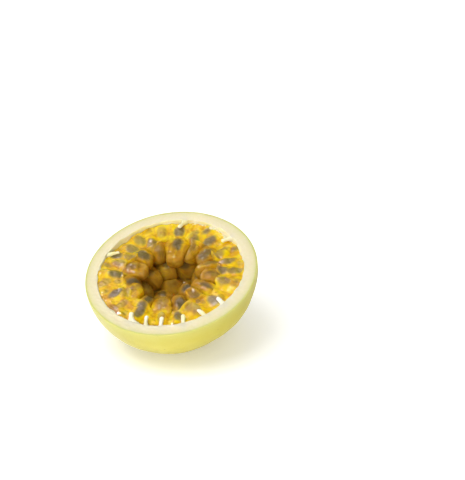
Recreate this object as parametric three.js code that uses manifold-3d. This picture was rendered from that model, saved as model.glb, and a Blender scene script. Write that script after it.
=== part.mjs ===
// Half of a yellow passion fruit, cut from end to end and laid down with its cut face up.
//
// The rind is a thick bowl with short white stalks on its inner wall. Each stalk has fed one
// juice sac, and each sac wraps one seed. Sacs crowd the wall on all sides and leave a
// hollow in the middle of the half, open at the cut face.
//
// Units are millimetres. Everything is first placed in the frame of the cut face: X and Y lie
// in the face, Z points out of it, and Z is 0 on it. One group then tilts that frame, so that
// the half rests on the small flat spot under it, with the origin at that spot's centre.

import * as THREE from 'three';
import * as BufferGeometryUtils from 'three/addons/utils/BufferGeometryUtils.js';
import Module from 'manifold-3d';

const wasm = await Module();
wasm.setup();

// Outside of the half.
const FACE_LONG_RADIUS = 40;
const FACE_SHORT_RADIUS = 38.8;
const LONG_AXIS_TURN = THREE.MathUtils.degToRad( 67 );
const HALF_DEPTH = 35;
const TILT = THREE.MathUtils.degToRad( 18.5 );
const FLAT_SPOT_RISE = 1.4;

// Inside of the rind.
const CAVITY_RADIUS = 34.2;
const CAVITY_DEPTH = 29.6;

// Stalks left on the inner wall: where each one stands round the face, in degrees from +X,
// and how far its tip leans to one side.
const STALKS = [
	{ turn: - 104, lean: - 28, girth: 1.3 },
	{ turn: - 92, lean: - 18, girth: 0.95 },
	{ turn: - 81, lean: - 9, girth: 1 },
	{ turn: - 65, lean: 4, girth: 1.05 },
	{ turn: - 47, lean: - 14, girth: 1 },
	{ turn: - 30, lean: 20, girth: 1.2 },
	{ turn: 169, lean: - 16, girth: 0.9 },
	{ turn: 52, lean: 0, girth: 1 },
	{ turn: 97, lean: 8, girth: 1 },
];
const STALK_LENGTH = 5.6;
const STALK_RADIUS = 0.75;
const STALK_FLARE = 1.6;
const STALK_ROOT_DEPTH = 1.7;
const STALK_RISE = THREE.MathUtils.degToRad( 15 );
const STALK_ROOT = 1.2;

// Hollow lined by the loose sacs, and the clear gap between pieces that touch.
const HOLLOW_CENTRE_DEPTH = 4.6;
const LINING_RADIUS = 24.4;
const LINING_DEPTH = 19.5;
const PULP_TOP_DEPTH = 1.5;
const GAP = 0.35;

// Loose juice sacs, in rings from the cut face down to the bottom: how far below the face a ring
// is, seen from the hollow's centre, and where its sacs stand round the face, all in degrees.
const SAC_RINGS = [
	{ below: 2, stagger: 3.5, width: 6.6, length: 11.4,
		turns: [ 178, - 156, - 134, - 110, - 86, - 62, - 40, - 18, 5, 28, 50, 73, 98, 125, 152 ] },
	{ below: 38, stagger: 2, width: 7.2, length: 10.8,
		turns: [ - 168, - 132, - 98, - 60, - 26, 12, 46, 84, 120, 158 ] },
	{ below: 69, stagger: 0, width: 7, length: 9.6,
		turns: [ - 150, - 62, 28, 118 ] },
];
const SAC_FLATNESS = 0.86;
const MOUTH_RADIUS = 0.75;
const SEED_LENGTH = 5.8;
const SEED_WIDTH = 3.7;
const SEED_FLATNESS = 0.68;
const SEED_START = 2.6;

const ROUND_STEPS = 40;
const BOWL_STEPS = 9;
const Z_AXIS = new THREE.Vector3( 0, 0, 1 );

// A closed three.js geometry as a solid that can be cut and joined.
function toSolid( geometry ) {

	const plain = geometry.clone();
	plain.deleteAttribute( 'normal' );
	plain.deleteAttribute( 'uv' );
	const welded = BufferGeometryUtils.mergeVertices( plain, 1e-4 );
	const mesh = new wasm.Mesh( {
		numProp: 3,
		vertProperties: Float32Array.from( welded.attributes.position.array ),
		triVerts: Uint32Array.from( welded.index.array ),
	} );
	return new wasm.Manifold( mesh );

}

// The solid back as a geometry with flat faces.
function toGeometry( solid ) {

	const mesh = solid.getMesh();
	const geometry = new THREE.BufferGeometry();
	geometry.setAttribute( 'position', new THREE.BufferAttribute( mesh.vertProperties, 3 ) );
	geometry.setIndex( new THREE.BufferAttribute( mesh.triVerts, 1 ) );
	geometry.computeVertexNormals();
	return geometry;

}

// A profile of [ radius, height ] points turned round the Z axis.
function turned( profile, steps ) {

	const points = profile.map( ( [ radius, height ] ) => new THREE.Vector2( radius, height ) );
	return new THREE.LatheGeometry( points, steps ).rotateX( Math.PI / 2 );

}

// A bowl-shaped plug: half an ellipsoid below Z = 0, carried straight up to a flat top.
function bowlPlug( radius, depth, top ) {

	const profile = [ [ 0, - depth ] ];
	for ( let i = 1; i <= BOWL_STEPS; i ++ ) {

		const angle = i / BOWL_STEPS * Math.PI / 2;
		profile.push( [ radius * Math.sin( angle ), - depth * Math.cos( angle ) ] );

	}

	if ( top > 0 ) profile.push( [ radius, top ] );
	profile.push( [ 0, top ] );
	return turned( profile, ROUND_STEPS );

}

// The fruit isn't quite round: everything that follows the rind is narrowed across its long axis.
function followFruit( geometry ) {

	geometry.scale( 1, FACE_SHORT_RADIUS / FACE_LONG_RADIUS, 1 );
	return geometry.rotateZ( LONG_AXIS_TURN );

}

// Lowest point of the tilted half, in the frame of the cut face.
function lowestPoint() {

	const down = new THREE.Vector3( 0, - Math.sin( TILT ), - Math.cos( TILT ) );
	const along = down.clone().applyAxisAngle( Z_AXIS, - LONG_AXIS_TURN );
	const squares = [ FACE_LONG_RADIUS ** 2, FACE_SHORT_RADIUS ** 2, HALF_DEPTH ** 2 ];
	const point = new THREE.Vector3( squares[ 0 ] * along.x, squares[ 1 ] * along.y, squares[ 2 ] * along.z );
	const drop = Math.sqrt( point.dot( along ) );
	return point.divideScalar( drop ).applyAxisAngle( Z_AXIS, LONG_AXIS_TURN );

}

// Centre of the flat spot, in the frame of the cut face: the flat lies FLAT_SPOT_RISE above
// the lowest point, and its centre is on the line from that point to the face's centre.
function flatSpotCentre() {

	const lowest = lowestPoint();
	const drop = - lowest.clone().applyAxisAngle( new THREE.Vector3( 1, 0, 0 ), TILT ).z;
	return lowest.multiplyScalar( ( drop - FLAT_SPOT_RISE ) / drop );

}

// A block that takes away everything under the flat spot.
function blockBelowFlatSpot() {

	const size = 60;
	const block = new THREE.BoxGeometry( size, size, size ).translate( 0, 0, - size / 2 );
	const centre = flatSpotCentre();
	return block.rotateX( - TILT ).translate( centre.x, centre.y, centre.z );

}

// Places a geometry made along +Z on the inner wall, so that it points inwards and upwards.
function placeOnWall( geometry, stalk ) {

	const turn = THREE.MathUtils.degToRad( stalk.turn );
	const inwards = turn + Math.PI - THREE.MathUtils.degToRad( stalk.lean );
	const direction = new THREE.Vector3(
		Math.cos( inwards ) * Math.cos( STALK_RISE ),
		Math.sin( inwards ) * Math.cos( STALK_RISE ),
		Math.sin( STALK_RISE ),
	);
	const quaternion = new THREE.Quaternion().setFromUnitVectors( Z_AXIS, direction );
	const across = turn - LONG_AXIS_TURN;
	const wallRadius = CAVITY_RADIUS * FACE_SHORT_RADIUS
		/ Math.hypot( FACE_SHORT_RADIUS * Math.cos( across ), FACE_LONG_RADIUS * Math.sin( across ) );
	geometry.applyQuaternion( quaternion );
	return geometry.translate(
		wallRadius * Math.cos( turn ),
		wallRadius * Math.sin( turn ),
		- STALK_ROOT_DEPTH,
	);

}

// One stalk: a short blunt peg with a flared foot sunk into the wall.
function stalkGeometry( stalk ) {

	const radius = STALK_RADIUS * stalk.girth;
	const peg = turned( [
		[ 0, - STALK_ROOT ],
		[ radius * STALK_FLARE, - STALK_ROOT ],
		[ radius * STALK_FLARE, 0.2 ],
		[ radius, 0.4 * STALK_LENGTH ],
		[ radius * 1.05, 0.92 * STALK_LENGTH ],
		[ 0, STALK_LENGTH ],
	], 8 );
	return placeOnWall( peg, stalk );

}

// The rind: skin, pale flesh, inner lining and stalks, which grew as one piece.
function rind() {

	const outside = toSolid( followFruit( bowlPlug( FACE_LONG_RADIUS, HALF_DEPTH, 0 ) ) );
	const cavity = toSolid( followFruit( bowlPlug( CAVITY_RADIUS, CAVITY_DEPTH, 2 ) ) );
	let shell = outside.subtract( cavity );
	for ( const stalk of STALKS ) shell = shell.add( toSolid( stalkGeometry( stalk ) ) );
	return toGeometry( shell.subtract( toSolid( blockBelowFlatSpot() ) ) );

}

// Room for one stalk in the pulp: a round groove, open at the top, where its sac has gone.
function stalkGroove( stalk ) {

	const radius = STALK_RADIUS * STALK_FLARE * stalk.girth + 1;
	const end = STALK_LENGTH + 1;
	const groove = turned( [ [ 0, - 1 ], [ radius, - 1 ], [ radius, end ], [ 0, end ] ], 10 );
	return placeOnWall( groove, stalk );

}

// The sacs packed against the wall, behind the loose ones, as one plain bowl.
function packedSacs() {

	const top = HOLLOW_CENTRE_DEPTH - PULP_TOP_DEPTH;
	const outside = toSolid( followFruit( bowlPlug( CAVITY_RADIUS - GAP, CAVITY_DEPTH - GAP, 0 ) ) );
	const aboveTop = new THREE.BoxGeometry( 100, 100, 10 ).translate( 0, 0, 5 - PULP_TOP_DEPTH );
	const hollow = bowlPlug( LINING_RADIUS + GAP, LINING_DEPTH + GAP, top + 1 );
	hollow.translate( 0, 0, - HOLLOW_CENTRE_DEPTH );
	let bowl = outside.subtract( toSolid( aboveTop ) ).subtract( toSolid( hollow ) );
	for ( const stalk of STALKS ) bowl = bowl.subtract( toSolid( stalkGroove( stalk ) ) );
	return toGeometry( bowl );

}

// Profile of a sac along its length: rounded at both ends, and a little fuller at the foot,
// where there is more room for it.
function sacRadius( along, width ) {

	const belly = Math.sin( Math.PI * along ) ** 0.6;
	return width / 2 * belly * ( 1.04 - 0.1 * along );

}

// One sac: a plump drop along +Z, hollow round its seed, with a small mouth at the free end.
function sacGeometry( length, width ) {

	const steps = 7;
	const skin = [];
	for ( let i = 0; i <= steps; i ++ ) {

		const along = i / steps;
		skin.push( [ i % steps === 0 ? 0 : sacRadius( along, width ), along * length ] );

	}

	const pocketRadius = SEED_WIDTH / 2 + GAP;
	const pocket = [
		[ 0, SEED_START - GAP ],
		[ 0.7 * pocketRadius, SEED_START + 0.1 * SEED_LENGTH ],
		[ pocketRadius, SEED_START + 0.4 * SEED_LENGTH ],
		[ 0.92 * pocketRadius, SEED_START + 0.7 * SEED_LENGTH ],
		[ MOUTH_RADIUS, SEED_START + SEED_LENGTH + GAP ],
		[ MOUTH_RADIUS, length + 1 ],
		[ 0, length + 1 ],
	];
	const drop = toSolid( turned( skin, 9 ).scale( 1, SAC_FLATNESS, 1 ) );
	return toGeometry( drop.subtract( toSolid( turned( pocket, 6 ).scale( 1, SAC_FLATNESS, 1 ) ) ) );

}

// One seed: a flat almond along +Z, in its place inside the sac.
function seedGeometry() {

	const radius = SEED_WIDTH / 2;
	const almond = turned( [
		[ 0, SEED_START ],
		[ 0.62 * radius, SEED_START + 0.14 * SEED_LENGTH ],
		[ 0.93 * radius, SEED_START + 0.42 * SEED_LENGTH ],
		[ 0.74 * radius, SEED_START + 0.74 * SEED_LENGTH ],
		[ 0, SEED_START + SEED_LENGTH ],
	], 6 );
	return almond.scale( 1, SEED_FLATNESS, 1 );

}

// A repeatable irregularity between -1 and 1 for sac number i.
function wobble( i, kind ) {

	const noise = Math.sin( ( i + 1 ) * 12.9898 + kind * 78.233 ) * 43758.5453;
	return 2 * ( noise - Math.floor( noise ) ) - 1;

}

// Where each loose sac grows: its foot on the lining of the hollow, its free end towards the
// hollow's centre. Neighbours in a ring stand a little higher and lower by turns.
function sacPlaces() {

	const places = [];
	for ( const ring of SAC_RINGS ) {

		for ( const turn of ring.turns ) {

			const i = places.length;
			const below = THREE.MathUtils.degToRad( ring.below + ring.stagger * ( i % 2 ? 1 : - 1 ) );
			const around = THREE.MathUtils.degToRad( turn );
			const outwards = new THREE.Vector3(
				LINING_RADIUS * Math.cos( below ) * Math.cos( around ),
				LINING_RADIUS * Math.cos( below ) * Math.sin( around ),
				- LINING_DEPTH * Math.sin( below ),
			);
			places.push( {
				foot: outwards.clone().add( new THREE.Vector3( 0, 0, - HOLLOW_CENTRE_DEPTH ) ),
				direction: outwards.clone().negate().normalize(),
				length: ring.length + 0.6 * wobble( i, 2 ),
				width: ring.width,
				roll: 0.4 * wobble( i, 3 ),
			} );

		}

	}

	return places;

}

// Puts a mesh made along +Z on its sac's axis.
function placeAsSac( mesh, place ) {

	const roll = new THREE.Quaternion().setFromAxisAngle( Z_AXIS, place.roll );
	mesh.quaternion.setFromUnitVectors( Z_AXIS, place.direction ).multiply( roll );
	mesh.position.copy( place.foot );
	return mesh;

}

function named( name, geometry, material ) {

	const mesh = new THREE.Mesh( geometry, material );
	mesh.name = name;
	return mesh;

}

const rindMaterial = new THREE.MeshStandardMaterial( { color: 0xece27f, roughness: 0.5, metalness: 0 } );
const packedMaterial = new THREE.MeshStandardMaterial( { color: 0xe6b41c, roughness: 0.2, metalness: 0 } );
const sacMaterial = new THREE.MeshStandardMaterial( { color: 0xcf9a22, roughness: 0.12, metalness: 0 } );
const seedMaterial = new THREE.MeshStandardMaterial( { color: 0x4a3f36, roughness: 0.4, metalness: 0 } );

const cutFaceFrame = new THREE.Group();
cutFaceFrame.add( named( 'rind', rind(), rindMaterial ) );
cutFaceFrame.add( named( 'packed_sacs', packedSacs(), packedMaterial ) );

sacPlaces().forEach( ( place, i ) => {

	const number = String( i + 1 ).padStart( 2, '0' );
	const drop = sacGeometry( place.length, place.width );
	const sac = named( `juice_sac_${ number }`, drop, sacMaterial );
	const seed = named( `seed_${ number }`, seedGeometry(), seedMaterial );
	cutFaceFrame.add( placeAsSac( sac, place ), placeAsSac( seed, place ) );

} );

cutFaceFrame.rotation.x = TILT;
cutFaceFrame.position.copy( flatSpotCentre().applyAxisAngle( new THREE.Vector3( 1, 0, 0 ), TILT ).negate() );

const passionFruitHalf = new THREE.Group();
passionFruitHalf.add( cutFaceFrame );

export default passionFruitHalf;
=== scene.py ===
"""Half of a yellow passion fruit, cut from end to end, lying on its small flat spot with the pulp up.

The fruit is made from the outside in: rind, packed juice sacs, loose juice sacs, seeds, and
last the table, lights and camera. Shapes are worked out in millimetres in the frame of the cut
face (X and Y in the face, Z out of it, Z = 0 on it) and then turned into the model's own frame.
"""

import math

import bmesh
import bpy
import numpy as np
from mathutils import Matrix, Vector


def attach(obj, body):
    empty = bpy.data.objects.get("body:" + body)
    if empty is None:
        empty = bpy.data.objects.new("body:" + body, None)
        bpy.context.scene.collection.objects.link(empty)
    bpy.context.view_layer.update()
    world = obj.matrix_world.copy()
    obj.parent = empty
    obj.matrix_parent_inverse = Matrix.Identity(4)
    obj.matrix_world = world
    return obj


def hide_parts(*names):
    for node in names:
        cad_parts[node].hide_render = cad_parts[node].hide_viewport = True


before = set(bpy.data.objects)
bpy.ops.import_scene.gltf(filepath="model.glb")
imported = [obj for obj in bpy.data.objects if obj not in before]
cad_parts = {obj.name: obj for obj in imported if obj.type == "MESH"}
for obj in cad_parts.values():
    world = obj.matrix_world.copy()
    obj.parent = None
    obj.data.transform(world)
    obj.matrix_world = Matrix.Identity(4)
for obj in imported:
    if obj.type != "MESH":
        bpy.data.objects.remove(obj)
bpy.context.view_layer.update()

# ---------------------------------------------------------------------------------------------
# Rind. The real one is the fruit's wall, grown as one piece: a thin waxy yellow skin, about
# 5 mm of pale spongy flesh, a white inner lining, and the short white stalks on it that fed
# the sacs. A knife has cut it through, so the flesh shows as a moist cream ring.
# ---------------------------------------------------------------------------------------------
MM = 0.001
TILT = math.radians(18.5)
FACE_LONG_RADIUS = 40.0
FACE_SHORT_RADIUS = 38.8
LONG_AXIS_TURN = math.radians(67)
HALF_DEPTH = 35.0
CAVITY_RADIUS = 34.2
CAVITY_DEPTH = 29.6
EDGE_ROUNDING = 0.45
# Where the wall is thicker on its inside: direction (degrees from X), millimetres, and the
# angle that it fades over (radians).
WALL_BULGES = [(-35, 0.88, 0.5), (34, 0.8, 0.45)]


def vertices_of(node):
    """The node's corner points in the model frame, in millimetres."""
    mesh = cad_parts[node].data
    flat = np.empty(len(mesh.vertices) * 3)
    mesh.vertices.foreach_get("co", flat)
    return flat.reshape(-1, 3) / MM


# Axes of the cut face in the model frame, and its centre. The rind is widest at its rim, so its
# widest points give the middle of the cut face and the height that it lies at.
FACE_X = np.array([1.0, 0.0, 0.0])
FACE_Y = np.array([0.0, math.cos(TILT), math.sin(TILT)])
FACE_Z = np.array([0.0, -math.sin(TILT), math.cos(TILT)])
FACE_AXES = np.stack([FACE_X, FACE_Y, FACE_Z])
rind_points = vertices_of("rind") @ FACE_AXES.T
FACE_CENTRE = 0.5 * (rind_points.min(0) + rind_points.max(0))
FACE_CENTRE[2] = rind_points[rind_points[:, 0].argmax(), 2]


def to_model(points):
    """From the frame of the cut face, in millimetres, to the model frame, in metres."""
    return (points + FACE_CENTRE) @ FACE_AXES * MM


def to_face(points):
    """From the model frame to the frame of the cut face, both in millimetres."""
    return points @ FACE_AXES.T - FACE_CENTRE


def follow_fruit(points):
    """Round shapes narrowed across the fruit's long axis, which lies LONG_AXIS_TURN from X."""
    x = points[..., 0]
    y = points[..., 1] * FACE_SHORT_RADIUS / FACE_LONG_RADIUS
    turned_x = x * math.cos(LONG_AXIS_TURN) - y * math.sin(LONG_AXIS_TURN)
    turned_y = x * math.sin(LONG_AXIS_TURN) + y * math.cos(LONG_AXIS_TURN)
    return np.stack([turned_x, turned_y, points[..., 2]], -1)


def ripple(points, wavelength, seed, waves=14):
    """Smooth irregularity, mostly within -1 to 1: the sum of sine waves of nearly one
    wavelength, over the root of their number, each along its own random direction and with
    its own random start."""
    rng = np.random.default_rng(seed)
    ways = rng.normal(size=(waves, 3))
    ways /= np.linalg.norm(ways, axis=1, keepdims=True)
    numbers = 2 * math.pi / (wavelength * rng.uniform(0.75, 1.35, waves))
    phases = points @ (ways * numbers[:, None]).T + rng.uniform(0, 2 * math.pi, waves)
    return np.sin(phases).sum(-1) / math.sqrt(waves)


def grid_faces(rows, columns, start):
    """Quads of a grid whose columns close round, with its points numbered from start."""
    row, column = np.meshgrid(np.arange(rows - 1), np.arange(columns), indexing="ij")
    following = (column + 1) % columns
    corners = [row * columns + column, row * columns + following,
               (row + 1) * columns + following, (row + 1) * columns + column]
    return np.stack(corners, -1).reshape(-1, 4) + start


def new_piece(name, grids, values=None):
    """One mesh object from closed grids of points (rows, columns, 3) in the frame of the cut
    face. The first and last row of a grid are poles, welded to one point each. values maps an
    attribute's name to one array of numbers per grid."""
    points = []
    faces = []
    start = 0
    for grid in grids:
        rows, columns = grid.shape[:2]
        points.append(grid.reshape(-1, 3))
        faces.append(grid_faces(rows, columns, start))
        start += rows * columns
    points = to_model(np.concatenate(points))
    faces = np.concatenate(faces)
    mesh = bpy.data.meshes.new(name)
    mesh.from_pydata(points, [], faces)
    for key, arrays in (values or {}).items():
        is_vector = arrays[0].ndim == 3
        attribute = mesh.attributes.new(key, "FLOAT_VECTOR" if is_vector else "FLOAT", "POINT")
        attribute.data.foreach_set("vector" if is_vector else "value",
                                   np.concatenate([a.ravel() for a in arrays]))
    piece = bpy.data.objects.new(name, mesh)
    bpy.context.scene.collection.objects.link(piece)
    weld_poles(mesh)
    mesh.polygons.foreach_set("use_smooth", np.ones(len(mesh.polygons), bool))
    return piece


def weld_poles(mesh):
    """Joins the points that share a pole, and drops the faces that have no area there."""
    work = bmesh.new()
    work.from_mesh(mesh)
    bmesh.ops.remove_doubles(work, verts=work.verts, dist=1e-6)
    bmesh.ops.dissolve_degenerate(work, edges=work.edges, dist=1e-7)
    bmesh.ops.recalc_face_normals(work, faces=work.faces)
    work.to_mesh(mesh)
    work.free()
    mesh.update()


def linear(hex_colour):
    """An sRGB hex colour, such as "F2E27C", as linear red, green, blue and alpha 1."""
    channels = [int(hex_colour[i:i + 2], 16) / 255 for i in (0, 2, 4)]
    return [c / 12.92 if c <= 0.04045 else ((c + 0.055) / 1.055) ** 2.4 for c in channels] + [1.0]


def add_node(material, kind, settings=None, **inputs):
    """Adds a shader node. settings are its own properties. An input, named by its label with
    spaces as underscores or by i and its number, gets a value, or a link where the value is
    another node's output."""
    node = material.node_tree.nodes.new(kind)
    for key, value in (settings or {}).items():
        setattr(node, key, value)
    for key, value in inputs.items():
        is_number = key[0] == "i" and key[1:].isdigit()
        socket = node.inputs[int(key[1:]) if is_number else key.replace("_", " ")]
        if isinstance(value, bpy.types.NodeSocket):
            material.node_tree.links.new(value, socket)
        else:
            socket.default_value = value
    return node


def new_material(name):
    """A material of nodes, with none in it yet."""
    material = bpy.data.materials.new(name)
    material.use_nodes = True
    material.node_tree.nodes.clear()
    return material


def rind_profile():
    """The rind's section as rows of (radius, height, skin, cut): a quarter ellipse of skin up
    from the bottom, the cut across the wall with rounded edges, and a quarter ellipse of
    lining down again. skin and cut are 1 on their own stretch and 0 elsewhere."""
    climb = np.linspace(0, math.pi / 2, 92)
    skin = np.stack([FACE_LONG_RADIUS * np.sin(climb), -HALF_DEPTH * np.cos(climb)], 1)
    skin = skin[skin[:, 1] < -EDGE_ROUNDING]
    bend = np.linspace(0, math.pi / 2, 7)
    outer_edge = np.stack([FACE_LONG_RADIUS - EDGE_ROUNDING * (1 - np.cos(bend)),
                           EDGE_ROUNDING * (np.sin(bend) - 1)], 1)
    across = np.linspace(FACE_LONG_RADIUS - EDGE_ROUNDING, CAVITY_RADIUS + EDGE_ROUNDING, 26)[1:-1]
    cut = np.stack([across, 0 * across], 1)
    inner_edge = np.stack([CAVITY_RADIUS + EDGE_ROUNDING * (1 - np.sin(bend)),
                           EDGE_ROUNDING * (np.cos(bend) - 1)], 1)
    fall = np.linspace(math.pi / 2, 0, 60)
    lining = np.stack([CAVITY_RADIUS * np.sin(fall), -CAVITY_DEPTH * np.cos(fall)], 1)
    lining = lining[lining[:, 1] < -EDGE_ROUNDING]
    rows = np.concatenate([skin, outer_edge, cut, inner_edge, lining])
    is_skin = np.zeros(len(rows))
    is_skin[:len(skin) + 4] = 1
    is_cut = np.zeros(len(rows))
    is_cut[len(skin) + 4:len(rows) - len(lining) - 3] = 1
    return rows, is_skin, is_cut


def rind_grid(columns=288):
    """The rind's section carried round the fruit. The wall is a little uneven: its inside
    bulges in two places, the cut dips by a few tenths of a millimetre, and the skin has low
    dents. Under the half it is pressed flat on the table."""
    rows, is_skin, is_cut = rind_profile()
    turn = np.linspace(0, 2 * math.pi, columns, endpoint=False)
    radius, height = rows[:, :1], rows[:, 1:]
    bulge = sum(size * np.exp(-(np.angle(np.exp(1j * (turn - math.radians(middle)))) / width) ** 2)
                for middle, size, width in WALL_BULGES)
    local = turn - LONG_AXIS_TURN
    inner = np.clip((FACE_LONG_RADIUS - radius) / (FACE_LONG_RADIUS - CAVITY_RADIUS), 0, 1)
    inner *= (height > -CAVITY_DEPTH * 1.02) * (1 - is_skin[:, None])
    reach = radius - inner * bulge[None, :] * np.clip(1 + height / 20, 0, 1)
    grid = np.stack([reach * np.cos(local), reach * np.sin(local), height + 0 * reach], -1)
    grid = follow_fruit(grid)
    outwards = grid / np.linalg.norm(grid + [0, 0, -1e-6], axis=-1, keepdims=True)
    dents = 0.16 * ripple(grid, 26.0, 3) + 0.05 * ripple(grid, 7.0, 4)
    grid += outwards * (dents * is_skin[:, None] * np.clip(-height / 3, 0, 1))[..., None]
    saw = 0.12 * ripple(grid, 9.0, 5) + 0.05 * ripple(grid, 2.2, 6) - 0.12
    grid[..., 2] += saw * is_cut[:, None]
    is_lining = 1 - is_skin - is_cut
    grid += outwards * (0.22 * ripple(grid, 5.0, 7) * is_lining[:, None])[..., None]
    above = (grid + FACE_CENTRE) @ FACE_AXES
    lift = np.maximum(0.0, -above[..., 2]) * is_skin[:, None]
    grid += lift[..., None] * FACE_AXES[:, 2]
    spread = np.ones((1, columns))
    return grid, is_skin[:, None] * spread, is_cut[:, None] * spread


# Each stalk: where it stands round the face (degrees from X), how far its tip leans aside
# (degrees), and its girth. They stand where the CAD rind has them.
STALKS = [
    (-104, -28, 1.3), (-92, -18, 0.95), (-81, -9, 1.0), (-65, 4, 1.05), (-47, -14, 1.0),
    (-30, 20, 1.2), (169, -16, 0.9), (52, 0, 1.0), (97, 8, 1.0),
]
STALK_LENGTH = 5.6
STALK_RADIUS = 0.82
STALK_BEND = 0.5
STALK_ROOT_DEPTH = 1.7
STALK_RISE = math.radians(15)


def wall_radius(turn):
    """Radius of the cavity's edge in a direction, from the ellipse that it is."""
    across = turn - LONG_AXIS_TURN
    stretch = math.hypot(FACE_SHORT_RADIUS * math.cos(across), FACE_LONG_RADIUS * math.sin(across))
    return CAVITY_RADIUS * FACE_SHORT_RADIUS / stretch


def side_axes(way):
    """Two unit vectors square to a direction and to each other."""
    helper = np.array([0.0, 0.0, 1.0]) if abs(way[2]) < 0.9 else np.array([1.0, 0.0, 0.0])
    first = np.cross(helper, way)
    first /= np.linalg.norm(first)
    return first, np.cross(way, first)


def stalk_grid(turn, lean, girth, seed):
    """A tube along a slightly bent line off the wall. Its radius flares into the wall over the
    first sixth, up to three times as wide on a thick stalk, and closes in a blunt tip."""
    turn = math.radians(turn)
    inwards = turn + math.pi - math.radians(lean)
    way = np.array([math.cos(inwards) * math.cos(STALK_RISE),
                    math.sin(inwards) * math.cos(STALK_RISE), math.sin(STALK_RISE)])
    foot = np.array([wall_radius(turn) * math.cos(turn), wall_radius(turn) * math.sin(turn),
                     -STALK_ROOT_DEPTH])
    first, second = side_axes(way)
    along = np.linspace(-0.22, 1, 34)[:, None]
    around = np.linspace(0, 2 * math.pi, 20, endpoint=False)[None, :]
    flare = 3.0 * (girth - 0.65) * np.exp(-np.maximum(along, 0) / 0.16)
    radius = STALK_RADIUS * girth * (1 + flare) * np.sqrt(np.clip((1 - along) / 0.12, 0, 1))
    radius *= 1 + 0.10 * np.sin(7 * along + seed)
    radius[0] = 0
    centre = foot + along * STALK_LENGTH * way + STALK_BEND * np.sin(2.2 * along + seed) * first
    ring = np.cos(around)[..., None] * first + np.sin(around)[..., None] * second
    grid = centre[:, None, :] + radius[..., None] * ring
    grid += 0.05 * ripple(grid, 1.4, seed + 40)[..., None]
    over_wall = np.clip(np.hypot(grid[..., 0], grid[..., 1]) - wall_radius(turn) + 1.2, 0, 1)
    height = grid[..., 2]
    grid[..., 2] = np.where(over_wall > 0, np.minimum(height, -0.35 * over_wall), height)
    return grid


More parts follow.
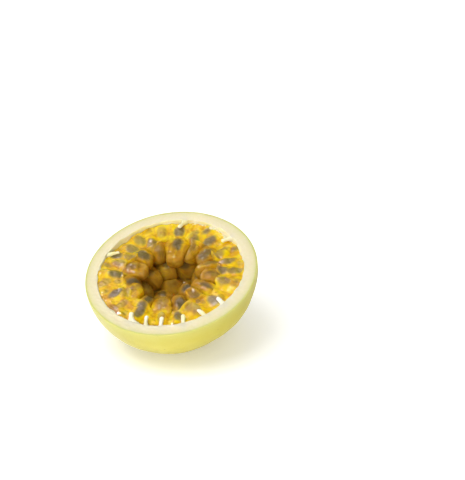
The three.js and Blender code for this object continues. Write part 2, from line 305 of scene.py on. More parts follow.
def rind_material():
    """Passion fruit rind, as grown and as cut. Skin: waxy, yellow, in clouds, with painted sheen that
    makes one side greyer and painted shade that makes the other darker and more saturated, with
    fine pale pores. Cut flesh: moist, cream, a little greenish under the skin, with fine fibres.
    Lining and stalks: whiter, stained by juice."""
    material = new_material("waxy_rind")
    place = add_node(material, "ShaderNodeTexCoord").outputs["Object"]
    skin, cut, edge = [
        add_node(material, "ShaderNodeAttribute", {"attribute_name": name}).outputs["Fac"]
        for name in ("skin", "cut", "edge")]

    # Clouds of colour 18 mm wide on the skin, fibres 1.2 mm apart in the flesh, and juice
    # stains 6 mm wide on the lining.
    ramps = []
    for width, detail, stops in ((0.018, 3.0, ((0.3, "CEC046"), (0.72, "DCD170"))),
                                 (0.0012, 4.0, ((0.35, "E6DBB2"), (0.7, "EADFBE"))),
                                 (0.006, 2.0, ((0.35, "F8ECAC"), (0.65, "FBF5D8")))):
        noise = add_node(material, "ShaderNodeTexNoise", Vector=place, Scale=1 / width, Detail=detail)
        ramp = add_node(material, "ShaderNodeValToRGB", Fac=noise.outputs["Fac"])
        for element, (position, colour) in zip(ramp.color_ramp.elements, stops):
            element.position = position
            element.color = linear(colour)
        ramps.append(ramp.outputs["Color"])
    skin_colour, flesh_colour, lining_colour = ramps

    # On the skin: pale pores 1.1 mm apart, painted sheen that makes the -X side greyer, painted
    # shade that makes the side towards X darker and more saturated, brown specks under a
    # millimetre wide and 7 mm apart, and the greener edge along the cut.
    pores = add_node(material, "ShaderNodeTexVoronoi", Vector=place, Scale=1 / 0.0011)
    pore_share = add_node(material, "ShaderNodeMapRange", Value=pores.outputs["Distance"],
                          From_Min=0.08, From_Max=0.3, To_Min=0.35, To_Max=0.0).outputs[0]
    across = add_node(material, "ShaderNodeSeparateXYZ", Vector=place).outputs["X"]
    painted_sheen_share = add_node(material, "ShaderNodeMapRange", Value=across, From_Min=0.01,
                            From_Max=-0.042, To_Max=0.75).outputs[0]
    painted_shade_share = add_node(material, "ShaderNodeMapRange", Value=across, From_Min=0.005,
                          From_Max=0.04, To_Max=0.75).outputs[0]
    specks = add_node(material, "ShaderNodeTexVoronoi", Vector=place, Scale=1 / 0.007)
    speck_share = add_node(material, "ShaderNodeMapRange", Value=specks.outputs["Distance"],
                           From_Min=0.03, From_Max=0.07, To_Min=0.45, To_Max=0.0).outputs[0]
    edge_share = add_node(material, "ShaderNodeMath", {"operation": "MULTIPLY"}, i0=edge,
                          i1=0.75).outputs[0]
    for share, colour in ((pore_share, "DFD98E"), (painted_sheen_share, "B2AE7E"), (painted_shade_share, "BEAE0C"),
                          (speck_share, "9A8440"), (edge_share, "D2D07C")):
        skin_colour = add_node(material, "ShaderNodeMix", {"data_type": "RGBA"}, i0=share,
                               i6=skin_colour, i7=linear(colour)).outputs[2]

    # The flesh is greener in its outer half millimetre.
    flesh_colour = add_node(material, "ShaderNodeMix", {"data_type": "RGBA"}, i0=edge,
                            i6=flesh_colour, i7=linear("C8C86E")).outputs[2]
    inside = add_node(material, "ShaderNodeMix", {"data_type": "RGBA"}, i0=cut, i6=lining_colour,
                      i7=flesh_colour).outputs[2]
    colour = add_node(material, "ShaderNodeMix", {"data_type": "RGBA"}, i0=skin, i6=inside,
                      i7=skin_colour).outputs[2]

    roughness = add_node(material, "ShaderNodeMapRange", Value=skin, To_Min=0.5, To_Max=0.42)
    grain = add_node(material, "ShaderNodeTexNoise", Vector=place, Scale=1 / 0.0007, Detail=3.0)
    bump = add_node(material, "ShaderNodeBump", Strength=0.25, Distance=0.00015,
                    Height=grain.outputs["Fac"])
    shader = add_node(material, "ShaderNodeBsdfPrincipled", Base_Color=colour,
                      Roughness=roughness.outputs[0], Normal=bump.outputs["Normal"],
                      IOR=1.42, Specular_IOR_Level=0.25, Subsurface_Weight=0.3,
                      Subsurface_Radius=(1.0, 0.75, 0.35), Subsurface_Scale=0.003)
    add_node(material, "ShaderNodeOutputMaterial", Surface=shader.outputs["BSDF"])
    return material


wall, wall_skin, wall_cut = rind_grid()
stalks = [stalk_grid(*stalk, seed=i) for i, stalk in enumerate(STALKS)]
on_stalks = [np.zeros(stalk.shape[:2]) for stalk in stalks]
# How near the skin's edge: 1 at the rim, fading over 3 mm down the skin and half a millimetre
# over the cut, with a fainter green over 3.5 mm.
down_skin = np.exp(wall[..., 2] / 3.0) * wall_skin
round_radius = np.hypot(wall[..., 0], wall[..., 1])
outer_radius = round_radius[np.argmax(wall_cut[:, 0] > 0)]
over_cut = (np.exp((round_radius - outer_radius) / 0.5)
            + 0.35 * np.clip(1 + (round_radius - outer_radius) / 3.5, 0, 1)) * wall_cut
rind = new_piece("fruit_rind", [wall, *stalks],
                 {"skin": [wall_skin, *on_stalks], "cut": [wall_cut, *on_stalks],
                  "edge": [np.clip(down_skin + over_cut, 0, 1), *on_stalks]})
rind.data.materials.append(rind_material())
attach(rind, "root")
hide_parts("rind")

# ---------------------------------------------------------------------------------------------
# Packed juice sacs. Against the lining the sacs press on each other until there are no gaps,
# and juice from the cut ones has filled the creases, so they make one lumpy bright yellow
# mass of gel that is open to the hollow in the middle.
# ---------------------------------------------------------------------------------------------
HOLLOW_CENTRE = np.array([0.0, 0.0, -4.6])
HOLLOW_RADIUS = 21.5
HOLLOW_DEPTH = 18.4
WALL_SACS = 62
SAC_THICKNESS = 5.8
# Juice fills the creases over CREASE_FILL, and painted shade darkens them over CREASE_WIDTH.
# The gel's outside runs GEL_MARGIN into the wall, and stays as far off its bottom. The brim is
# where its level top turns down into the hollow.
CREASE_FILL = 0.75
CREASE_WIDTH = 0.55
GEL_MARGIN = 0.3
BRIM_RADIUS = 22.6
# The gel is found by looking from the eye, above the hollow, at a plain bowl. Each line of
# sight starts at SIGHT_START from the bowl, where less than 0 is nearer to the eye, and ends
# between MOST_BEFORE and MOST_BEHIND.
EYE = np.array([0.0, 0.0, 22.0])
SIGHT_START = -7.5
SIGHT_STEPS = 12
MOST_BEFORE = -5.0
MOST_BEHIND = 1.3
SMOOTHING_PASSES = 5
# Sacs in the cut face whose seeds show through: where each seed's middle lies, first in an
# outer ring and then in an inner one.
SHOWING_SEEDS = [
    (-20.7, 18.3), (-22.6, 12.6), (-25.5, 1.6), (-23.6, -6.2), (-27.5, -12.5), (-20.8, -17.2),
    (-16.3, -23.3), (-7.2, -25.6), (2.6, -26.0), (10.4, -24.2), (16.8, -19.8), (23.2, -13.5),
    (25.6, -2.6), (27.9, 5.4), (23.4, 11.6), (18.6, 17.4), (11.8, 22.4), (3.0, 25.6),
    (-4.4, 27.4), (-12.3, 25.2), (-28.5, 7.0),
    (-16.1, -15.7), (-7.2, -20.8), (13.1, -17.8), (21.8, 5.0), (16.9, 14.2), (5.1, 21.5),
    (-14.2, 17.1), (-21.8, 6.3),
]


def unit(vectors):
    """Vectors of length one, along the last axis."""
    return vectors / np.linalg.norm(vectors, axis=-1, keepdims=True)


def near_turn(turn, middle, width):
    """1 at a direction round the face, falling to 0 away from it; angles in degrees."""
    away = np.angle(np.exp(1j * (turn - math.radians(middle))))
    return np.exp(-(away / math.radians(width)) ** 2)


def pulp_top(turn):
    """Height of the pulp at the wall: level with the cut on the left, and sunk under the
    stalks and at the upper right, where it has come away from the lining."""
    return (-0.6 - 2.0 * near_turn(turn, -70, 36) - 1.4 * near_turn(turn, 46, 24)
            - 1.2 * near_turn(turn, 98, 14) - 2.2 * near_turn(turn, 146, 26)
            + 0.55 * near_turn(turn, 200, 32))


def ring_of_sacs(count, reach, rng):
    """Middles of a ring of sacs in the cut face, leaving out those too near a showing seed."""
    turn = 2 * math.pi * (np.arange(count) + rng.uniform(-0.2, 0.2, count)) / count
    reaches = (reach + rng.uniform(-0.8, 0.8, count))[:, None]
    places = reaches * np.stack([np.cos(turn), np.sin(turn)], -1)
    distance = np.linalg.norm(places[:, None, :] - np.array(SHOWING_SEEDS), axis=-1).min(1)
    return places[distance > 4.3]


def face_sacs(rng):
    """Axes of the sacs in the cut face: 7 mm long, pointing nearly at the middle, just under
    the top. The ones with showing seeds come first."""
    hidden = np.concatenate([ring_of_sacs(34, 30.0, rng), ring_of_sacs(26, 24.5, rng)])
    middle = np.concatenate([SHOWING_SEEDS, hidden])
    turn = np.arctan2(middle[:, 1], middle[:, 0])
    way = unit(np.stack([-np.cos(turn), -np.sin(turn), 0 * turn], -1)
               + rng.normal(0, 0.14, (len(middle), 3)))
    height = pulp_top(turn) - 0.5 * SAC_THICKNESS + rng.uniform(-0.9, 0.2, len(middle))
    height[:len(SHOWING_SEEDS)] += 0.35
    middle = np.concatenate([middle, height[:, None]], 1)
    return middle - 4.0 * way, middle + 3.2 * way


def wall_sacs(rng):
    """Axes of the sacs on the rest of the lining, in a golden-angle spiral up from the bottom,
    each pointing nearly at the hollow's centre."""
    number = np.arange(WALL_SACS)
    cosine = 1 - (number + 0.5) / WALL_SACS * 0.88
    sine = np.sqrt(1 - cosine ** 2)
    turn = number * math.pi * (3 - math.sqrt(5)) + rng.uniform(-0.08, 0.08, WALL_SACS)
    outer = np.stack([31.5 * sine * np.cos(turn), 30.8 * sine * np.sin(turn), -22.5 * cosine], -1)
    way = unit(unit(-outer) + rng.normal(0, 0.16, outer.shape))
    feet = HOLLOW_CENTRE + outer
    return feet, feet + rng.uniform(6.0, 8.0, WALL_SACS)[:, None] * way


def to_axes(points, feet, tips):
    """From each point to its nearest point on each sac's axis: shape (points, sacs, 3)."""
    run = tips - feet
    share = ((points[:, None, :] - feet) * run).sum(-1) / (run ** 2).sum(-1)
    return feet + np.clip(share, 0, 1)[..., None] * run - points[:, None, :]


def sac_distances(points, feet, tips):
    """From each point to each sac's skin: the distance to its axis, less its radius."""
    return np.linalg.norm(to_axes(points, feet, tips), axis=-1) - 0.5 * SAC_THICKNESS


def gel_distance(points, feet, tips):
    """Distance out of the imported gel: the soft minimum of the distances to all the sacs, which
    fills the creases between them over a width of CREASE_FILL."""
    away = np.clip(sac_distances(points, feet, tips), -8, 8)
    return -CREASE_FILL * np.log(np.exp(-away / CREASE_FILL).sum(-1))


def plain_bowl(columns):
    """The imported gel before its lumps. Its outside follows the lining, as a quarter ellipse.
    Its inside is the level top in to the brim, and then the hollow's quarter ellipse."""
    turn = np.linspace(0, 2 * math.pi, columns, endpoint=False)
    top = pulp_top(turn)
    climb = np.linspace(0, math.pi / 2, 24)[:, None]
    outer_height = np.minimum(-(CAVITY_DEPTH - GEL_MARGIN) * np.cos(climb), top - 0.6)
    outer_reach = (CAVITY_RADIUS + GEL_MARGIN) * np.sin(climb) + 0 * top
    inner_climb = np.linspace(1.36, 0, 80)[:, None]
    across = np.linspace(1, 0, 52)[:, None]
    brim_reach = BRIM_RADIUS + (CAVITY_RADIUS + GEL_MARGIN - BRIM_RADIUS) * across + 0 * top
    hollow_height = HOLLOW_CENTRE[2] - HOLLOW_DEPTH * np.cos(inner_climb) + 0 * top
    inner_reach = np.concatenate([brim_reach, HOLLOW_RADIUS * np.sin(inner_climb) + 0 * top])
    inner_height = np.concatenate([top + 0 * across, hollow_height])
    east, north = np.cos(turn - LONG_AXIS_TURN), np.sin(turn - LONG_AXIS_TURN)
    return [follow_fruit(np.stack([reach * east, reach * north, height + 0 * reach], -1))
            for reach, height in ((outer_reach, outer_height), (inner_reach, inner_height))]


def packed_grid(feet, tips, columns=420):
    """A closed bowl. Its inside is found along lines of sight from the eye, each stepped
    forward until it meets the gel. How far each has gone is then smoothed over the grid,
    which rounds off what was torn, and ripples are laid over it."""
    outside, inside = plain_bowl(columns)
    rows = inside.shape[0]
    sight = unit(inside - EYE).reshape(-1, 3)
    start = inside.reshape(-1, 3)
    travel = np.full(len(start), SIGHT_START)
    for _ in range(SIGHT_STEPS):
        for part in np.array_split(np.arange(len(start)), 12):
            here = start[part] + travel[part, None] * sight[part]
            travel[part] += 0.85 * gel_distance(here, feet, tips)
    travel = np.clip(travel, MOST_BEFORE, MOST_BEHIND).reshape(rows, columns)
    for _ in range(SMOOTHING_PASSES):
        travel = 0.5 * travel + 0.25 * (np.roll(travel, 1, axis=1) + np.roll(travel, -1, axis=1))
        travel[1:-1] = 0.5 * travel[1:-1] + 0.25 * (travel[:-2] + travel[2:])
    slack = np.minimum(1, np.arange(rows) / 3)[:, None]
    inside = inside + (travel * slack)[..., None] * sight.reshape(inside.shape)
    inside += (0.09 * ripple(inside, 1.9, 31) + 0.22 * ripple(inside, 4.2, 32))[..., None] * [0, 0, 1]
    return np.concatenate([outside, inside])


def gel_marks(points, feet, tips):
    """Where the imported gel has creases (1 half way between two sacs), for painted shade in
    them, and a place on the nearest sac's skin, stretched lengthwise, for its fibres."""
    crease_shading, places = [], []
    run = unit(tips - feet)
    first = unit(np.cross(run, [0.0, 0.0, 1.0]))
    second = np.cross(run, first)
    for part in np.array_split(points.reshape(-1, 3), 12):
        away = sac_distances(part, feet, tips)
        closest = np.sort(away, axis=-1)
        crease_shading.append(np.exp(-((closest[:, 1] - closest[:, 0]) / CREASE_WIDTH) ** 2))
        nearest = away.argmin(-1)
        off = part - feet[nearest]
        sideways = np.stack([(off * first[nearest]).sum(-1), (off * second[nearest]).sum(-1)], -1)
        lengthwise = 0.07 * (off * run[nearest]).sum(-1) + 7.3 * nearest
        places.append(np.concatenate([unit(sideways), lengthwise[:, None]], -1))
    shape = points.shape[:-1]
    return np.concatenate(crease_shading).reshape(shape), np.concatenate(places).reshape(points.shape)


def seed_nearness(points, numbers, fade):
    """Nearly 1 on a seed, weaker on some, and falling to 0 at about twice the fade from it, in
    millimetres. The distance is measured in the seed's own proportions, and heights count
    half, as the gel is clear."""
    near = np.zeros(points.shape[:-1])
    for i in numbers:
        off = (points - (seed_feet[i] + 0.5 * SEED_LENGTH * seed_ways[i])) * [1, 1, 0.5]
        third = np.cross(seed_ways[i], seed_flats[i])
        scaled = np.stack([off @ seed_ways[i] / (SEED_LENGTH / 2),
                           off @ seed_flats[i] / (SEED_WIDTH / 2),
                           off @ third / (SEED_FLATNESS * SEED_WIDTH / 2)], -1)
        depth = np.maximum(np.linalg.norm(scaled, axis=-1) - 1, 0) * SEED_WIDTH / 2
        strength = 0.78 + 0.22 * math.sin(2.9 * i)
        near = np.maximum(near, strength * np.exp(-(depth / fade) ** 2))
    return near


def glow(points):
    """Painted light for the gel's colour, standing for how brightly the gel lets light through: 1
    near the wall and the cut, falling to 0 down in the hollow, and lowered as painted shade in
    the gaps between the stalks at the low side."""
    reach = np.hypot(points[..., 0], points[..., 1])
    turn = np.arctan2(points[..., 1], points[..., 0])
    shaded = (near_turn(turn, -86, 20) + near_turn(turn, -124, 9)) * np.clip((reach - 30.5) / 2, 0, 1)
    return np.clip((reach - 6) / 18, 0, 1) * np.clip((points[..., 2] + 20) / 15, 0, 1) - 0.6 * shaded


def lining_nearness(points):
    """How much of the torn white lining clings to the gel: up to 0.75 along the wall at the
    upper right, where the pulp has come away, and less elsewhere."""
    turn = np.arctan2(points[..., 1], points[..., 0])
    along_wall = np.clip((np.hypot(points[..., 0], points[..., 1]) - 29.0) / 4.5, 0, 1)
    return along_wall * (0.35 + 0.4 * near_turn(turn, 62, 44)) * (points[..., 2] > -8)


def gel_material():
    """Juice gel in its clear skin: wet, glossy and cloudy. Its colour holds painted light: bright
    yellow at the wall, where light would shine through it, painted shade of amber round the
    hollow, and paler and clearer down in it, where the lights leave it in shade; orange painted
    shade in the creases, grey-brown where a seed shows through, with fine bright fibres along
    each sac and shreds of white lining near the wall."""
    material = new_material("juice_gel")
    place = add_node(material, "ShaderNodeTexCoord").outputs["Object"]
    glow_here, crease_shade, seed_near, lining_near = [
        add_node(material, "ShaderNodeAttribute", {"attribute_name": name}).outputs["Fac"]
        for name in ("glow", "crease_shade", "seed_near", "lining_near")]
    along_sac = add_node(material, "ShaderNodeAttribute", {"attribute_name": "fibre_place"})

    # The glow, painted light made uneven by clouds 3.8 mm wide, picks the colour.
    clouds = add_node(material, "ShaderNodeTexNoise", Vector=place, Scale=1 / 0.0038, Detail=2.0)
    shift = add_node(material, "ShaderNodeMapRange", Value=clouds.outputs["Fac"], From_Min=0.3,
                     From_Max=0.7, To_Min=-0.36, To_Max=0.26).outputs[0]
    uneven = add_node(material, "ShaderNodeMath", {"operation": "ADD"}, i0=glow_here, i1=shift)
    ramp = add_node(material, "ShaderNodeValToRGB", Fac=uneven.outputs[0])
    colours = ramp.color_ramp.elements
    colours[0].color = linear("E8B43A")
    colours[1].color = linear("FFD800")
    for position, colour in ((0.25, "D8A22A"), (0.5, "C89214"), (0.75, "E6B002")):
        colours.new(position).color = linear(colour)

    # Over it, in this order: orange painted shade in the creases, fibres, seeds and shreds of lining 3.5
    # mm wide.
    crease_shade_share = add_node(material, "ShaderNodeMath", {"operation": "MULTIPLY"}, i0=crease_shade,
                            i1=0.4).outputs[0]
    fibres = add_node(material, "ShaderNodeTexNoise", Scale=3.4, Detail=1.5, Roughness=0.55,
                      Vector=along_sac.outputs["Vector"])
    fibre_share = add_node(material, "ShaderNodeMapRange", Value=fibres.outputs["Fac"],
                           From_Min=0.54, From_Max=0.68, To_Max=0.5).outputs[0]
    seed_share = add_node(material, "ShaderNodeMapRange", Value=seed_near, From_Min=0.2,
                          From_Max=0.95, To_Max=0.9).outputs[0]
    shreds = add_node(material, "ShaderNodeTexNoise", Vector=place, Scale=1 / 0.0035, Detail=2.0)
    shreds = add_node(material, "ShaderNodeMath", {"operation": "ADD"},
                      i0=shreds.outputs["Fac"], i1=lining_near)
    shred_share = add_node(material, "ShaderNodeMapRange", Value=shreds.outputs[0],
                           From_Min=1.1, From_Max=1.2, To_Max=0.85).outputs[0]
    gel_colour = ramp.outputs["Color"]
    for share, colour in ((crease_shade_share, "D08A08"), (fibre_share, "FFD41C"),
                          (seed_share, "766A40"), (shred_share, "FBF2CC")):
        gel_colour = add_node(material, "ShaderNodeMix", {"data_type": "RGBA"}, i0=share,
                              i6=gel_colour, i7=linear(colour)).outputs[2]

    grain = add_node(material, "ShaderNodeTexNoise", Vector=place, Scale=1 / 0.0026, Detail=0.6)
    bump = add_node(material, "ShaderNodeBump", Strength=1.0, Distance=0.0005,
                    Height=grain.outputs["Fac"])
    fibre_bump = add_node(material, "ShaderNodeBump", Strength=0.55, Distance=0.0003,
                          Height=fibres.outputs["Fac"], Normal=bump.outputs["Normal"])
    clearness = add_node(material, "ShaderNodeMapRange", Value=glow_here, To_Min=0.5, To_Max=0.1)
    shader = add_node(material, "ShaderNodeBsdfPrincipled", Base_Color=gel_colour,
                      Roughness=0.04, Normal=fibre_bump.outputs["Normal"], IOR=1.45,
                      Transmission_Weight=clearness.outputs[0], Subsurface_Weight=0.75,
                      Subsurface_Radius=(1.0, 0.75, 0.15), Subsurface_Scale=0.003)
    add_node(material, "ShaderNodeOutputMaterial", Surface=shader.outputs["BSDF"])
    return material


random_growth = np.random.default_rng(11)
face_feet, face_tips = face_sacs(random_growth)
wall_feet, wall_tips = wall_sacs(random_growth)
packed_feet = np.concatenate([face_feet, wall_feet])
packed_tips = np.concatenate([face_tips, wall_tips])
PACKED_COUNT = len(packed_feet)

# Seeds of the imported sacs, then of the loose ones. Foot, direction and direction across.
# A showing seed lies on its sac's axis, close under the top of the gel, the others lie lower.
LOOSE_COUNT = 29
SEED_LENGTH = 5.8
SEED_WIDTH = 3.7
SEED_FLATNESS = 0.66
HIDDEN_SEED_DROP = 1.8
# The gel's colour fades from a seed's over these millimetres.
PACKED_SEED_FADE = 1.15
LOOSE_SEED_FADE = 1.25


def long_axis(points, towards):
    """Both ends of a cloud of points along its longest direction, the far end being the one
    nearer to the point that it grows towards."""
    centre = points.mean(0)
    way = np.linalg.svd(points - centre, full_matrices=False)[2][0]
    if (towards - centre) @ way < 0:
        way = -way
    reach = (points - centre) @ way
    return centre + reach.min() * way, centre + reach.max() * way


loose_sacs = np.array([long_axis(to_face(vertices_of(f"juice_sac_{i + 1:02d}")), HOLLOW_CENTRE)
                       for i in range(LOOSE_COUNT)])
loose_seeds = np.array([long_axis(to_face(vertices_of(f"seed_{i + 1:02d}")), HOLLOW_CENTRE)
                        for i in range(LOOSE_COUNT)])
packed_ways = unit(packed_tips - packed_feet)
packed_seed_feet = 0.5 * (packed_feet + packed_tips) - 0.5 * SEED_LENGTH * packed_ways
showing = len(SHOWING_SEEDS)
packed_seed_feet[:showing, 2] += random_growth.uniform(-0.1, 0.3, showing)
packed_seed_feet[showing:, 2] -= HIDDEN_SEED_DROP
seed_ways = np.concatenate([packed_ways, unit(loose_seeds[:, 1] - loose_seeds[:, 0])])
seed_feet = np.concatenate([packed_seed_feet, loose_seeds[:, 0]])
seed_flats = unit(np.cross(seed_ways, random_growth.normal(0, 0.45, seed_ways.shape) + [0, 0, 1.0]))

# Light bends on its way out of the gel, so that a seed looks nearer to the skin than it is:
# the gel is marked as if the seeds lay 1.2 mm higher.
SEED_LOOKS_RAISED = np.array([0.0, 0.0, 1.2])
gel = gel_material()
packed_bowl = packed_grid(packed_feet, packed_tips)
# The crease marks give the orange painted shade in the creases.
crease_shading, fibre_places = gel_marks(packed_bowl, packed_feet, packed_tips)
seed_marks = seed_nearness(packed_bowl - SEED_LOOKS_RAISED, range(PACKED_COUNT), PACKED_SEED_FADE)
packed = new_piece("packed_juice_sacs", [packed_bowl],
                   {"glow": [glow(packed_bowl)], "crease_shade": [crease_shading], "fibre_place": [fibre_places],
                    "lining_near": [lining_nearness(packed_bowl)], "seed_near": [seed_marks]})
packed.data.materials.append(gel)
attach(packed, "root")
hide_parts("packed_sacs")

# ---------------------------------------------------------------------------------------------
# Loose juice sacs. The ones round the hollow are free on one side: each is a thin clear skin
# full of gel, grown on its own stalk, plump and blunt at the free end. Each swells until it
# meets its neighbours half way.
# ---------------------------------------------------------------------------------------------
LOOSE_RADIUS = 6.2
LOOSE_ROWS = 40
LOOSE_COLUMNS = 40
# A sac's axis starts FOOT_BEHIND of its length behind its foot, and its top sinks by FOOT_SINKS
# there. Two sacs meet where circles of MEETING_RADIUS times their girths would, and FAR_AWAY
# stands for no neighbour on that side.
FOOT_BEHIND = 0.14
FOOT_SINKS = 2.4
MEETING_RADIUS = 3.2
FAR_AWAY = 99.0
# Sacs that grew longer and thicker, or thinner, than the rest: length and girth of each.
SAC_GROWTH = {12: (1.55, 1.4), 7: (1.3, 1.35), 11: (1.1, 0.8), 13: (0.9, 0.85), 9: (1.3, 1.15),
              0: (1.3, 1.1), 3: (0.85, 0.9), 5: (1.15, 1.25), 14: (1.05, 0.85), 1: (0.95, 0.9)}
loose_pushes = np.array([(MEETING_RADIUS * SAC_GROWTH.get(i, (1, 1))[1]) ** 2
                         for i in range(LOOSE_COUNT)])


def sac_grid(number):
    """A drop round a slightly bent axis, which starts a little behind the foot. Its free radius
    is a power of a sine along the axis. In each direction the radius is blended, by a sum of
    inverse powers, with the distance to the plane where it meets every neighbour, which is
    nearer to the thinner one, and to the top of the pulp, which the foot sinks under. It is
    then smoothed along the axis, and wrinkled a little."""
    feet, tips = loose_sacs[:, 0], loose_sacs[:, 1]
    rng = np.random.default_rng(900 + number)
    stretch, girth = SAC_GROWTH.get(number, (rng.uniform(0.85, 1.2), 1.0))
    run = tips[number] - feet[number]
    first, second = side_axes(unit(run))
    along = np.linspace(0, 1, LOOSE_ROWS)
    around = np.linspace(0, 2 * math.pi, LOOSE_COLUMNS, endpoint=False)
    bend = rng.uniform(-1.6, 1.6, 2)
    aside = (bend[0] * first + bend[1] * second) * (along ** 2 - 0.2)[:, None]
    reach = -FOOT_BEHIND + (FOOT_BEHIND + stretch) * along
    axis_points = feet[number] + reach[:, None] * run + aside
    ways = np.cos(around)[:, None] * first + np.sin(around)[:, None] * second
    free = LOOSE_RADIUS * girth * np.sin(math.pi * np.clip(along, 0.003, 0.997)) ** 0.58
    free *= 1.0 + 0.1 * along
    gap = np.delete(to_axes(axis_points, feet, tips), number, axis=1)
    facing = np.einsum("rnk,ck->rcn", gap, ways)
    squared = (gap ** 2).sum(-1)[:, None, :]
    pushes = np.delete(loose_pushes[number] - loose_pushes, number)
    to_neighbour = np.where(facing > 0.05, (squared + pushes) / (2 * np.maximum(facing, 0.05)), FAR_AWAY)
    sunk = FOOT_SINKS * (1 - np.clip(along / 0.5, 0, 1)) ** 2
    top = pulp_top(math.atan2(feet[number, 1], feet[number, 0])) + rng.uniform(-0.5, 0.9)
    top = np.maximum(top - sunk, axis_points[:, 2] + 2.8 - sunk)[:, None]
    rise = np.maximum(ways[None, :, 2], 0.05)
    to_top = np.where(ways[None, :, 2] > 0.05, (top - axis_points[:, None, 2]) / rise, FAR_AWAY)
    sides = (free[:, None] ** -8.0 + (np.maximum(to_neighbour, 0.2) ** -8.0).sum(-1)) ** (-1 / 8)
    radius = (sides ** -3.2 + np.maximum(to_top, 0.3) ** -3.2) ** (-1 / 3.2)
    radius[2:-2] = (radius[:-4] + 2 * radius[1:-3] + 3 * radius[2:-2]
                    + 2 * radius[3:-1] + radius[4:]) / 9
    radius[0] = radius[-1] = 0
    grid = axis_points[:, None, :] + radius[..., None] * ways
    wrinkle = 0.25 * ripple(grid, 3.6, number) + 0.11 * ripple(grid, 1.7, number + 500)
    grid += (wrinkle * np.sin(math.pi * along)[:, None])[..., None] * ways
    fibre_place = np.stack(np.broadcast_arrays(np.cos(around)[None, :], np.sin(around)[None, :],
                                               0.4 * along[:, None] + 7.3 * number), -1)
    return grid, fibre_place


for i in range(LOOSE_COUNT):
    shape, fibre_place = sac_grid(i)
    seed_near = seed_nearness(shape - SEED_LOOKS_RAISED, [PACKED_COUNT + i], LOOSE_SEED_FADE)
    sac = new_piece(f"gel_sac_{i + 1:02d}", [shape],
                    {"glow": [0.8 * glow(shape) + 0.12 * math.sin(3.7 * i)], "crease_shade": [0 * seed_near],
                     "fibre_place": [fibre_place], "seed_near": [seed_near]})
    sac.data.materials.append(gel)
    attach(sac, "root")
    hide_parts(f"juice_sac_{i + 1:02d}")

# ---------------------------------------------------------------------------------------------
# Seeds. One flat, hard, dark brown almond in each sac, pitted all over, with a blunt end at
# the stalk and a pointed one at the free end.
# ---------------------------------------------------------------------------------------------


def seed_grid(number, rows=20, columns=20):
    """An almond: its half width along the axis is a skewed power of a sine, flattened across,
    with pits where a ripple is high."""
    way, wide = seed_ways[number], seed_flats[number]
    flat = np.cross(way, wide)
    along = np.linspace(0, 1, rows)[:, None]
    around = np.linspace(0, 2 * math.pi, columns, endpoint=False)[None, :]
    width = SEED_WIDTH / 2 * np.sin(math.pi * along ** 0.85) ** 0.75
    out = np.cos(around)[..., None] * wide + SEED_FLATNESS * np.sin(around)[..., None] * flat
    grid = seed_feet[number] + SEED_LENGTH * along[..., None] * way + width[..., None] * out
    pits = np.clip(ripple(grid, 1.2, 71), 0, 1.5) * 0.07 * np.sin(math.pi * along)
    return grid - pits[..., None] * out


def seed_material():
    """Hard seed coat: dark brown, paler on the ridges between its pits, wet and a bit shiny."""
    material = new_material("seed_coat")
    place = add_node(material, "ShaderNodeTexCoord").outputs["Object"]
    pits = add_node(material, "ShaderNodeTexVoronoi", Vector=place, Scale=1 / 0.0009)
    ramp = add_node(material, "ShaderNodeValToRGB", Fac=pits.outputs["Distance"])
    ramp.color_ramp.elements[0].color = linear("2A1C14")
    ramp.color_ramp.elements[1].position = 0.8
    ramp.color_ramp.elements[1].color = linear("6A5446")
    bump = add_node(material, "ShaderNodeBump", Strength=0.5, Distance=0.0002,
                    Height=pits.outputs["Distance"])
    shader = add_node(material, "ShaderNodeBsdfPrincipled", Base_Color=ramp.outputs["Color"],
                      Roughness=0.35, Normal=bump.outputs["Normal"], IOR=1.5)
    add_node(material, "ShaderNodeOutputMaterial", Surface=shader.outputs["BSDF"])
    return material


seed_coat = seed_material()


def seeds_piece(name, numbers):
    """One object of one or more seeds."""
    piece = new_piece(name, [seed_grid(i) for i in numbers])
    piece.data.materials.append(seed_coat)
    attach(piece, "root")
    return piece


for i in range(LOOSE_COUNT):
    seed = seeds_piece(f"pitted_seed_{i + 1:02d}", [PACKED_COUNT + i])
    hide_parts(f"seed_{i + 1:02d}")
packed_seeds = seeds_piece("packed_seeds", range(PACKED_COUNT))
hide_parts("packed_sacs")

# ---------------------------------------------------------------------------------------------
# Table and light. A pale seamless table top that glows a little as painted light, with a
# painted shadow where the fruit rests, an even white surround, a large soft light high on the
# left, a weaker one low in front, and six small ones and a strip that put the wet glints on
# the gel.
# ---------------------------------------------------------------------------------------------


def floor_material():
    """Matt white acrylic sheet that glows a little, as painted light: least within 18 mm of where
    the fruit rests, as a painted shadow, more from 44 mm out, and most beyond 0.6 m. Nearly
    white, with no pattern."""
    material = new_material("white_table")
    place = add_node(material, "ShaderNodeTexCoord").outputs["Object"]
    away = add_node(material, "ShaderNodeVectorMath", {"operation": "LENGTH"}, i0=place).outputs["Value"]
    beside = add_node(material, "ShaderNodeMapRange", Value=away, From_Min=0.018, From_Max=0.044,
                      To_Min=0.22, To_Max=0.33).outputs[0]
    far = add_node(material, "ShaderNodeMapRange", Value=away, From_Min=0.15, From_Max=0.6,
                   To_Max=0.29).outputs[0]
    painted_table_glow = add_node(material, "ShaderNodeMath", {"operation": "ADD"}, i0=beside, i1=far)
    shader = add_node(material, "ShaderNodeBsdfPrincipled", Base_Color=linear("FBFBF9"), Roughness=0.6,
                      Emission_Color=linear("FFFFFF"), Emission_Strength=painted_table_glow.outputs[0])
    add_node(material, "ShaderNodeOutputMaterial", Surface=shader.outputs["BSDF"])
    return material


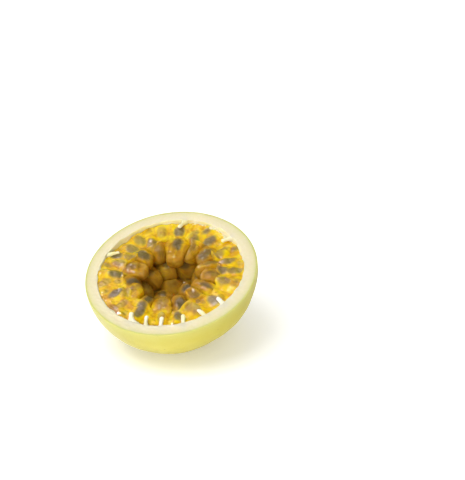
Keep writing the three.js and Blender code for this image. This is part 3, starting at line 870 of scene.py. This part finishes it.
FLOOR_REACH = 3.0
floor_mesh = bpy.data.meshes.new("table_top")
floor_mesh.from_pydata([(-FLOOR_REACH, -FLOOR_REACH, 0), (FLOOR_REACH, -FLOOR_REACH, 0),
                        (FLOOR_REACH, FLOOR_REACH, 0), (-FLOOR_REACH, FLOOR_REACH, 0)],
                       [], [(0, 1, 2, 3)])
floor = bpy.data.objects.new("table_top", floor_mesh)
bpy.context.scene.collection.objects.link(floor)
floor.data.materials.append(floor_material())


def soft_light(name, place, size, power, glints_only=False, length=None):
    """A square or oblong area light aimed at the fruit. It is left out of reflections, or, if
    it is for glints only, is seen in nothing else."""
    light = bpy.data.lights.new(name, "AREA")
    light.shape = "RECTANGLE"
    light.size = size
    light.size_y = length or size
    light.energy = power
    lamp = bpy.data.objects.new(name, light)
    lamp.location = Vector(place)
    lamp.rotation_euler = (-Vector(place)).to_track_quat("-Z", "Y").to_euler()
    lamp.visible_diffuse = not glints_only
    lamp.visible_glossy = glints_only
    bpy.context.scene.collection.objects.link(lamp)


soft_light("key_softbox", (-0.3, -0.3, 1.0), 0.7, 6.0)
soft_light("front_fill", (0.15, -1.0, 0.3), 0.6, 3.0)
GLINT_DISTANCE = 0.8
GLINTS = [(-0.1, -0.05, 0.99), (-0.53, -0.39, 0.75), (0.37, -0.32, 0.87), (-0.8, 0.35, 0.49)]
FINE_GLINTS = [(0.05, 0.3, 0.95), (-0.45, 0.3, 0.84)]
for name, ways, size, power in (("glint", GLINTS, 0.06, 0.9), ("fine_glint", FINE_GLINTS, 0.035, 0.2)):
    for number, way in enumerate(ways):
        soft_light(f"{name}_{number}", GLINT_DISTANCE * np.array(way), size, power, glints_only=True)
soft_light("strip_above", (-0.3, -0.1, 0.75), 0.04, 0.9, glints_only=True, length=0.4)


def studio_surround():
    """A white room, a little darker on the right, and much darker in wet reflections, as
    black flags beside the camera would make it."""
    world = bpy.data.worlds.new("white_surround")
    world.use_nodes = True
    background = world.node_tree.nodes["Background"]
    background.inputs["Color"].default_value = (1.0, 1.0, 1.0, 1.0)
    direction = add_node(world, "ShaderNodeTexCoord").outputs["Generated"]
    axes = add_node(world, "ShaderNodeSeparateXYZ", Vector=direction)
    side = add_node(world, "ShaderNodeMapRange", Value=axes.outputs["X"], From_Min=-1.0,
                    To_Min=0.85, To_Max=0.25).outputs[0]
    flags = add_node(world, "ShaderNodeMapRange", To_Min=1.0, To_Max=0.12,
                     Value=add_node(world, "ShaderNodeLightPath").outputs["Is Glossy Ray"])
    strength = add_node(world, "ShaderNodeMath", {"operation": "MULTIPLY"}, i0=side, i1=flags.outputs[0])
    world.node_tree.links.new(strength.outputs[0], background.inputs["Strength"])
    return world


bpy.context.scene.world = studio_surround()
bpy.context.scene.view_settings.view_transform = "Standard"

# ---------------------------------------------------------------------------------------------
# Camera. It looks down at about 25 degrees from a little to the right of the low edge, from
# half a metre away, with the fruit left of the middle of the picture.
# ---------------------------------------------------------------------------------------------
CAMERA_AZIMUTH = math.radians(15.0)
CAMERA_ELEVATION = math.radians(25.5)
CAMERA_DISTANCE = 0.520
FRUIT_LEFT_OF_MIDDLE = 0.0278
FRUIT_BELOW_MIDDLE = 0.0136

camera_data = bpy.data.cameras.new("camera")
camera_data.sensor_width = 36.0
camera_data.lens = 86.0
camera = bpy.data.objects.new("camera", camera_data)
bpy.context.scene.collection.objects.link(camera)
back = Vector((math.sin(CAMERA_AZIMUTH) * math.cos(CAMERA_ELEVATION),
               -math.cos(CAMERA_AZIMUTH) * math.cos(CAMERA_ELEVATION),
               math.sin(CAMERA_ELEVATION)))
right = Vector((math.cos(CAMERA_AZIMUTH), math.sin(CAMERA_AZIMUTH), 0.0))
above = back.cross(right)
face_centre = Vector(to_model(np.zeros(3)))
camera.location = (face_centre + back * CAMERA_DISTANCE + right * FRUIT_LEFT_OF_MIDDLE
                   + above * FRUIT_BELOW_MIDDLE)
camera.rotation_mode = "QUATERNION"
camera.rotation_quaternion = (-back).to_track_quat("-Z", "Y")
bpy.context.scene.camera = camera
